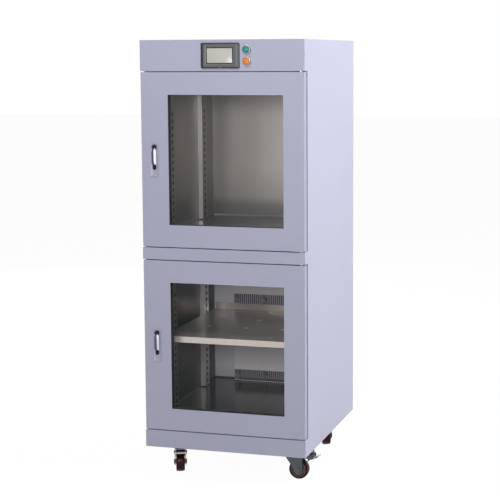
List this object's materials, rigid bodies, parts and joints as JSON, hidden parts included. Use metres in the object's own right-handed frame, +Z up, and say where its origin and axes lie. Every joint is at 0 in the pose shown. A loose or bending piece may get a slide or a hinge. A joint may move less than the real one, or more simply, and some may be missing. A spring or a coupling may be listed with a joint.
{
  "type": "desiccator cabinet",
  "caption": "Floor-standing low-humidity storage cabinet with two windowed doors, a header with touch panel and push buttons, and swivel casters.",
  "frame": {"origin": "on the floor below the middle of the whole object's bounding box", "axes": "+Z up, +Y towards the rear panel, +X to the right seen from the front, where the door pivots are"},
  "size_m": [0.64, 0.7296, 1.566],
  "materials": {
    "painted_steel": "pale lavender-grey textured powder coat",
    "stainless_steel": "fine brushed stainless",
    "zinc_plated_steel": "bright zinc plate",
    "dryer_plastic": "moulded, matt",
    "black_plastic": "moulded, satin",
    "screen": "switched-off screen, semi-gloss",
    "nickel_bezel": "nickel plated",
    "electronics": "matt",
    "green_cap": "translucent green",
    "orange_cap": "translucent orange",
    "glass": "clear toughened glass",
    "black_rubber": "matt",
    "handle_chrome": "satin chrome",
    "dark_button": "satin",
    "hub_plastic": "moulded, satin",
    "red_tyre": "dark red polyurethane"
  },
  "bodies": {
    "cabinet": {"left_side_panel": "painted_steel", "right_side_panel": "painted_steel", "top_panel": "painted_steel", "rear_panel": "painted_steel", "base_frame": "painted_steel", "header_fascia": "painted_steel", "mid_rail": "painted_steel", "front_frame": "painted_steel", "upper_liner": "stainless_steel", "lower_liner": "stainless_steel", "shelf_pilasters": "stainless_steel", "shelf": "stainless_steel", "shelf_clips": "stainless_steel", "duct_cover": "stainless_steel", "panel_screws": "zinc_plated_steel", "dryer_unit": "dryer_plastic", "humidity_sensors": "dryer_plastic", "hmi_housing": "black_plastic", "hmi_screen": "screen", "button_bodies": "nickel_bezel", "control_electronics": "electronics", "power_inlet": "black_plastic", "hinge_pins": "zinc_plated_steel", "caster_plates": "zinc_plated_steel"},
    "green_button": {"green_button_cap": "green_cap"},
    "orange_button": {"orange_button_cap": "orange_cap"},
    "lower_door": {"lower_door_shell": "painted_steel", "lower_door_inner_frame": "painted_steel", "lower_door_glass": "glass", "lower_glazing_seal": "black_rubber", "lower_door_gasket": "black_rubber", "lower_handle_base": "handle_chrome"},
    "lower_latch": {"lower_latch_rotor": "handle_chrome"},
    "lower_lever": {"lower_handle_lever": "handle_chrome"},
    "lower_key": {"lower_handle_button": "dark_button"},
    "upper_door": {"upper_door_shell": "painted_steel", "upper_door_inner_frame": "painted_steel", "upper_door_glass": "glass", "upper_glazing_seal": "black_rubber", "upper_door_gasket": "black_rubber", "upper_handle_base": "handle_chrome"},
    "upper_latch": {"upper_latch_rotor": "handle_chrome"},
    "upper_lever": {"upper_handle_lever": "handle_chrome"},
    "upper_key": {"upper_handle_button": "dark_button"},
    "front_left_swivel": {"front_left_fork": "zinc_plated_steel"},
    "front_left_wheel": {"front_left_wheel_hub": "hub_plastic", "front_left_tyre": "red_tyre"},
    "front_left_brake": {"front_left_brake_pedal": "zinc_plated_steel"},
    "front_right_swivel": {"front_right_fork": "zinc_plated_steel"},
    "front_right_wheel": {"front_right_wheel_hub": "hub_plastic", "front_right_tyre": "red_tyre"},
    "front_right_brake": {"front_right_brake_pedal": "zinc_plated_steel"},
    "rear_left_swivel": {"rear_left_fork": "zinc_plated_steel"},
    "rear_left_wheel": {"rear_left_wheel_hub": "hub_plastic", "rear_left_tyre": "red_tyre"},
    "rear_left_brake": {"rear_left_brake_pedal": "zinc_plated_steel"},
    "rear_right_swivel": {"rear_right_fork": "zinc_plated_steel"},
    "rear_right_wheel": {"rear_right_wheel_hub": "hub_plastic", "rear_right_tyre": "red_tyre"},
    "rear_right_brake": {"rear_right_brake_pedal": "zinc_plated_steel"}
  },
  "joints": [
    {"name": "green_button_press", "type": "slide", "parent": "cabinet", "child": "green_button", "axis": [0, 1, 0], "range_m": [0, 0.003], "stiffness_N_per_m": 250},
    {"name": "orange_button_press", "type": "slide", "parent": "cabinet", "child": "orange_button", "axis": [0, 1, 0], "range_m": [0, 0.003], "stiffness_N_per_m": 250},
    {"name": "lower_door_hinge", "type": "hinge", "parent": "cabinet", "child": "lower_door", "pos_m": [0.283, -0.3362, 0.483], "axis": [0, 0, 1], "range_deg": [0, 120]},
    {"name": "lower_latch_turn", "type": "hinge", "parent": "lower_door", "child": "lower_latch", "pos_m": [-0.249, -0.3522, 0.529], "axis": [0, -1, 0], "range_deg": [0, 90]},
    {"name": "lower_lever_lift", "type": "hinge", "parent": "lower_latch", "child": "lower_lever", "pos_m": [-0.249, -0.3563, 0.529], "axis": [-1, 0, 0], "range_deg": [0, 22]},
    {"name": "lower_key_press", "type": "slide", "parent": "lower_door", "child": "lower_key", "axis": [0, 1, 0], "range_m": [0, 0.0025], "stiffness_N_per_m": 250},
    {"name": "upper_door_hinge", "type": "hinge", "parent": "cabinet", "child": "upper_door", "pos_m": [0.283, -0.3362, 1.147], "axis": [0, 0, 1], "range_deg": [0, 120]},
    {"name": "upper_latch_turn", "type": "hinge", "parent": "upper_door", "child": "upper_latch", "pos_m": [-0.249, -0.3522, 1.193], "axis": [0, -1, 0], "range_deg": [0, 90]},
    {"name": "upper_lever_lift", "type": "hinge", "parent": "upper_latch", "child": "upper_lever", "pos_m": [-0.249, -0.3563, 1.193], "axis": [-1, 0, 0], "range_deg": [0, 22]},
    {"name": "upper_key_press", "type": "slide", "parent": "upper_door", "child": "upper_key", "axis": [0, 1, 0], "range_m": [0, 0.0025], "stiffness_N_per_m": 250},
    {"name": "front_left_swivel", "type": "hinge", "parent": "cabinet", "child": "front_left_swivel", "pos_m": [-0.212, -0.2312, 0.0997], "axis": [0, 0, 1], "continuous": true},
    {"name": "front_left_wheel_spin", "type": "hinge", "parent": "front_left_swivel", "child": "front_left_wheel", "pos_m": [-0.20053, -0.26108, 0.036], "axis": [-0.9336, -0.3584, 0], "continuous": true},
    {"name": "front_left_brake_press", "type": "hinge", "parent": "front_left_swivel", "child": "front_left_brake", "pos_m": [-0.18297, -0.30682, 0.086], "axis": [0.9336, 0.3584, 0], "range_deg": [0, 10]},
    {"name": "front_right_swivel", "type": "hinge", "parent": "cabinet", "child": "front_right_swivel", "pos_m": [0.212, -0.2312, 0.0997], "axis": [0, 0, 1], "continuous": true},
    {"name": "front_right_wheel_spin", "type": "hinge", "parent": "front_right_swivel", "child": "front_right_wheel", "pos_m": [0.244, -0.2312, 0.036], "axis": [0, -1, 0], "continuous": true},
    {"name": "front_right_brake_press", "type": "hinge", "parent": "front_right_swivel", "child": "front_right_brake", "pos_m": [0.293, -0.2312, 0.086], "axis": [0, 1, 0], "range_deg": [0, 10]},
    {"name": "rear_left_swivel", "type": "hinge", "parent": "cabinet", "child": "rear_left_swivel", "pos_m": [-0.212, 0.2558, 0.0997], "axis": [0, 0, 1], "continuous": true},
    {"name": "rear_left_wheel_spin", "type": "hinge", "parent": "rear_left_swivel", "child": "rear_left_wheel", "pos_m": [-0.244, 0.2558, 0.036], "axis": [0, 1, 0], "continuous": true},
    {"name": "rear_left_brake_press", "type": "hinge", "parent": "rear_left_swivel", "child": "rear_left_brake", "pos_m": [-0.293, 0.2558, 0.086], "axis": [0, -1, 0], "range_deg": [0, 10]},
    {"name": "rear_right_swivel", "type": "hinge", "parent": "cabinet", "child": "rear_right_swivel", "pos_m": [0.212, 0.2558, 0.0997], "axis": [0, 0, 1], "continuous": true},
    {"name": "rear_right_wheel_spin", "type": "hinge", "parent": "rear_right_swivel", "child": "rear_right_wheel", "pos_m": [0.22347, 0.22592, 0.036], "axis": [-0.9336, -0.3584, 0], "continuous": true},
    {"name": "rear_right_brake_press", "type": "hinge", "parent": "rear_right_swivel", "child": "rear_right_brake", "pos_m": [0.24103, 0.18018, 0.086], "axis": [0.9336, 0.3584, 0], "range_deg": [0, 10]}
  ]
}
